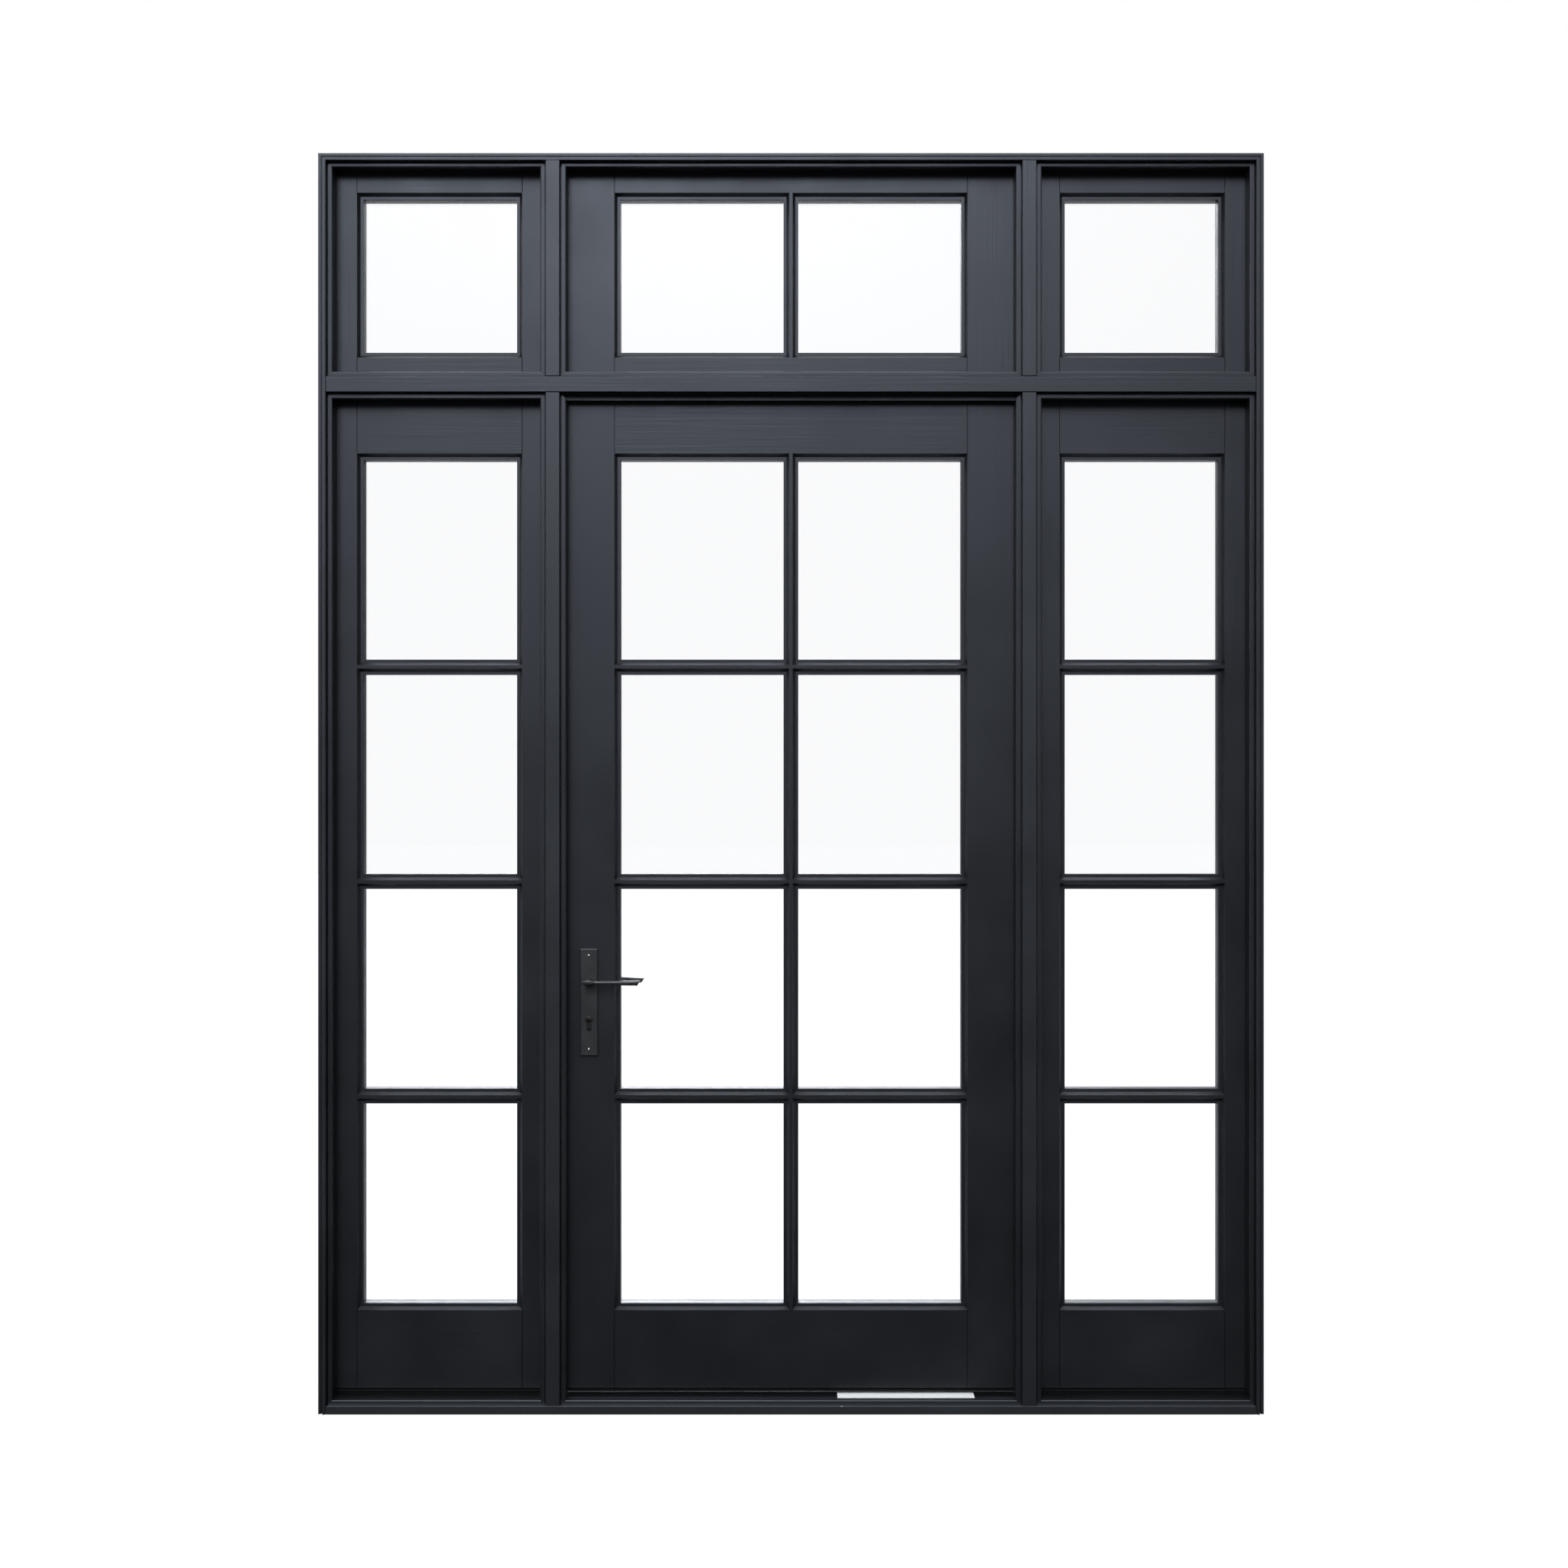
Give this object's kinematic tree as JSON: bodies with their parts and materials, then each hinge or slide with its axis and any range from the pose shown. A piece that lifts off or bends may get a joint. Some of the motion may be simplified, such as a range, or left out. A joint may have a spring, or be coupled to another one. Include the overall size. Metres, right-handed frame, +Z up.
{
  "type": "door with sidelights",
  "caption": "Painted timber entrance unit: a glazed door between two glazed sidelights, with transom lights above, moulded glazing bars and a lever handle.",
  "frame": {"origin": "on the ground under the middle of the sill, at mid depth of the frame", "axes": "+Z up, +X to the right seen from outside, +Y from the outside face to the inside face"},
  "size_m": [2.1, 0.173, 2.8],
  "materials": {
    "paint": "satin charcoal paint on timber",
    "glass": "clear float glass",
    "weather_bar": "charcoal coated aluminium",
    "seal": "black rubber",
    "hinge_metal": "satin stainless steel",
    "dark_threshold": "black coated aluminium",
    "bare_threshold": "bare bright aluminium",
    "furniture": "satin black coated metal",
    "cylinder_metal": "dark plated metal",
    "screw_steel": "bright steel"
  },
  "bodies": {
    "frame": {"jambs": "paint", "head": "paint", "transom_rail": "paint", "sill": "paint", "upper_mullions": "paint", "lower_mullions": "paint", "upright_stops": "paint", "level_stops": "paint", "door_seals": "seal", "head_casing": "paint", "side_casings": "paint", "transom_cover_strip": "paint", "sill_nosing": "paint", "mullion_cover_strips": "paint", "interior_vertical_trims": "paint", "interior_horizontal_trims": "paint", "transom_light_stiles": "paint", "transom_light_rails": "paint", "transom_light_bars": "paint", "transom_light_panes": "glass", "sidelight_stiles": "paint", "sidelight_rails": "paint", "sidelight_bars": "paint", "sidelight_panes": "glass", "sidelight_weather_bars": "weather_bar", "frame_hinge_leaves": "hinge_metal", "hinge_pins": "hinge_metal", "strike_plate": "hinge_metal", "threshold_plate": "dark_threshold", "threshold_bare_plate": "bare_threshold"},
    "door_leaf": {"lock_stile": "paint", "hinge_stile": "paint", "door_top_rail": "paint", "door_bottom_rail": "paint", "door_upright_bar": "paint", "door_cross_bars": "paint", "door_panes": "glass", "door_weather_bar": "weather_bar", "lock_faceplate": "hinge_metal", "handle_plates": "furniture", "key_cylinder": "cylinder_metal", "handle_screws": "screw_steel", "door_hinge_leaves": "hinge_metal"},
    "lever_set": {"levers": "furniture", "lever_spindle": "screw_steel"}
  },
  "joints": [
    {"name": "door_swing", "type": "hinge", "parent": "frame", "child": "door_leaf", "pos_m": [0.51175, 0.0605, 1.15], "axis": [0, 0, -1], "range_deg": [0, 110]},
    {"name": "lever_turn", "type": "hinge", "parent": "door_leaf", "child": "lever_set", "pos_m": [-0.453, 0, 0.956], "axis": [0, 1, 0], "range_deg": [0, 45], "stiffness_Nm_per_rad": 1, "springref_deg": -51.57}
  ]
}
